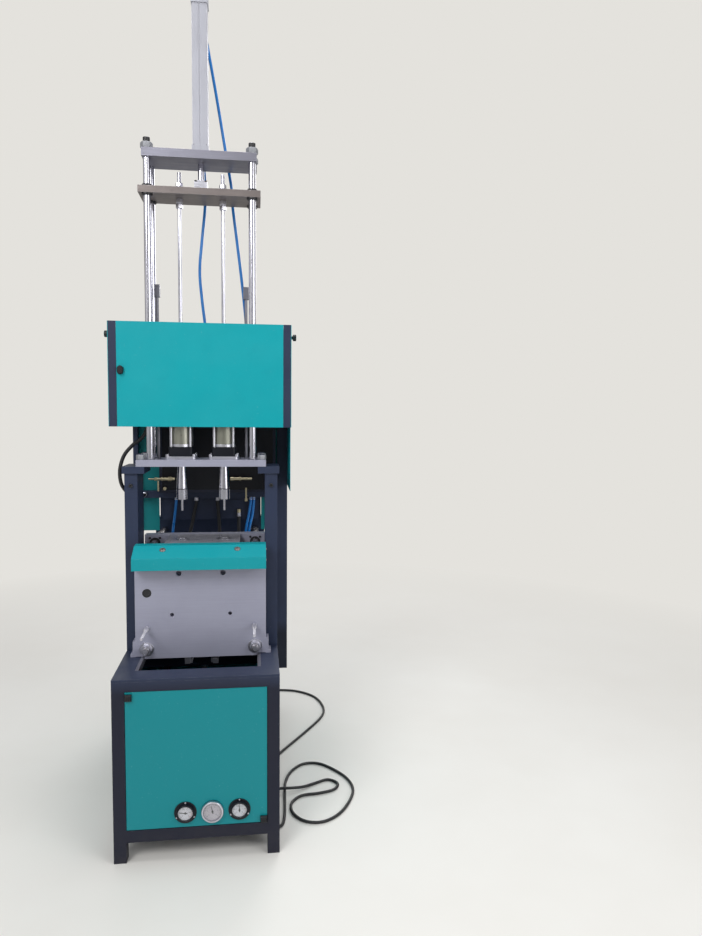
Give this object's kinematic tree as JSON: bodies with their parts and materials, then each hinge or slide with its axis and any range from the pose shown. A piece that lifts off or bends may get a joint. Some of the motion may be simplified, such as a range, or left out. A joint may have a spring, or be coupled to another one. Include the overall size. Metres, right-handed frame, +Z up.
{
  "type": "stretch blow moulding machine",
  "caption": "Upright stretch blow moulding machine: a cabinet with a closing mould clamp, sliding blow nozzles and a tall stretch cylinder on guide rods.",
  "frame": {"origin": "on the floor, at the centre of the four feet of the cabinet", "axes": "+Z up, -Y out of the front panel with the gauges, +X to the right as seen from the front"},
  "size_m": [1.0151, 1.5973, 3.2524],
  "materials": {
    "teal_paint": "semi-gloss",
    "dark_paint": "semi-gloss",
    "ground_steel": "ground",
    "dull_steel": "dull",
    "bright_steel": "polished",
    "grey_aluminium": "satin",
    "black_metal": "satin",
    "black_plastic": "matte",
    "brass": "satin",
    "blue_tube": "gloss",
    "black_hose": "satin"
  },
  "bodies": {
    "base": {"base_frame": "dark_paint", "table_top": "dark_paint", "front_panel": "teal_paint", "side_panels": "teal_paint", "rear_panel": "teal_paint", "gauge_cases": "black_metal", "guide_rails": "dull_steel", "posts": "dark_paint", "blow_plate": "ground_steel", "top_plate": "ground_steel", "guide_rods": "bright_steel", "frame_nuts": "bright_steel", "stretch_cylinder": "grey_aluminium", "stop_posts": "dull_steel", "blow_barrels": "bright_steel", "blow_heads": "black_metal", "blow_flanges": "ground_steel", "guard_frame": "dark_paint", "guard_front": "teal_paint", "guard_sides": "teal_paint", "rear_sheet": "teal_paint", "valve_cabinet": "dark_paint", "air_manifold": "dark_paint", "air_fittings": "brass", "long_air_tube": "blue_tube", "short_air_tube": "blue_tube", "left_hose": "black_hose", "rear_hoses": "black_hose", "power_cable": "black_hose", "cable_gland": "black_plastic", "cable_plug": "black_plastic"},
    "stretch_carriage": {"carriage_plate": "dull_steel", "carriage_bushes": "black_metal", "stretch_rods": "bright_steel", "rod_lock_nuts": "bright_steel", "piston_rod": "bright_steel", "rod_coupling": "ground_steel"},
    "left_blow_nozzle": {"nozzle_left": "bright_steel"},
    "right_blow_nozzle": {"nozzle_right": "bright_steel"},
    "front_clamp": {"front_platen": "ground_steel", "platen_cover": "teal_paint", "tie_bars": "bright_steel", "tie_bar_nuts": "bright_steel", "front_mould": "dull_steel", "crosshead": "dark_paint", "clamp_cylinder": "dark_paint", "front_rack": "dull_steel", "stop_bolts": "bright_steel"},
    "rear_clamp": {"rear_platen": "ground_steel", "rear_bushes": "black_metal", "rear_mould": "dull_steel", "clamp_rod": "bright_steel", "rear_rack": "dull_steel"},
    "pinion": {"sync_pinion": "dull_steel"},
    "left_needle": {"needle_left": "black_plastic"},
    "centre_needle": {"needle_centre": "black_plastic"},
    "right_needle": {"needle_right": "black_plastic"},
    "upper_latch": {"latch_upper": "black_plastic"},
    "lower_latch": {"latch_lower": "black_plastic"},
    "guard_latch": {"guard_knob": "black_plastic"}
  },
  "joints": [
    {"name": "stretch_slide", "type": "slide", "parent": "base", "child": "stretch_carriage", "axis": [0, 0, -1], "range_m": [0, 0.335]},
    {"name": "left_nozzle_slide", "type": "slide", "parent": "base", "child": "left_blow_nozzle", "axis": [0, 0, -1], "range_m": [0, 0.16]},
    {"name": "right_nozzle_slide", "type": "slide", "parent": "base", "child": "right_blow_nozzle", "axis": [0, 0, -1], "range_m": [0, 0.16]},
    {"name": "front_clamp_slide", "type": "slide", "parent": "base", "child": "front_clamp", "axis": [0, -1, 0], "range_m": [0, 0.13]},
    {"name": "rear_clamp_slide", "type": "slide", "parent": "base", "child": "rear_clamp", "axis": [0, 1, 0], "range_m": [0, 0.13]},
    {"name": "pinion_turn", "type": "hinge", "parent": "base", "child": "pinion", "pos_m": [0, -0.265, 0.66], "axis": [0, 0, 1], "range_deg": [0, 190]},
    {"name": "left_needle_turn", "type": "hinge", "parent": "base", "child": "left_needle", "pos_m": [-0.044, -0.671, 0.179], "axis": [0, 1, 0], "range_deg": [-50, 220]},
    {"name": "centre_needle_turn", "type": "hinge", "parent": "base", "child": "centre_needle", "pos_m": [0.054, -0.671, 0.179], "axis": [0, 1, 0], "range_deg": [-123, 147]},
    {"name": "right_needle_turn", "type": "hinge", "parent": "base", "child": "right_needle", "pos_m": [0.152, -0.671, 0.179], "axis": [0, 1, 0], "range_deg": [-135, 135]},
    {"name": "upper_latch_turn", "type": "hinge", "parent": "base", "child": "upper_latch", "pos_m": [-0.241, -0.665, 0.62], "axis": [0, 1, 0], "range_deg": [0, 90]},
    {"name": "lower_latch_turn", "type": "hinge", "parent": "base", "child": "lower_latch", "pos_m": [0.241, -0.665, 0.137], "axis": [0, 1, 0], "range_deg": [0, 90]},
    {"name": "guard_latch_turn", "type": "hinge", "parent": "base", "child": "guard_latch", "pos_m": [-0.308, -0.339, 1.803], "axis": [0, 1, 0], "range_deg": [0, 90]}
  ],
  "couplings": [
    {"joint": "right_nozzle_slide", "follows": "left_nozzle_slide", "ratio": 1},
    {"joint": "rear_clamp_slide", "follows": "front_clamp_slide", "ratio": 1},
    {"joint": "pinion_turn", "follows": "front_clamp_slide", "rad_per_m": 25}
  ]
}
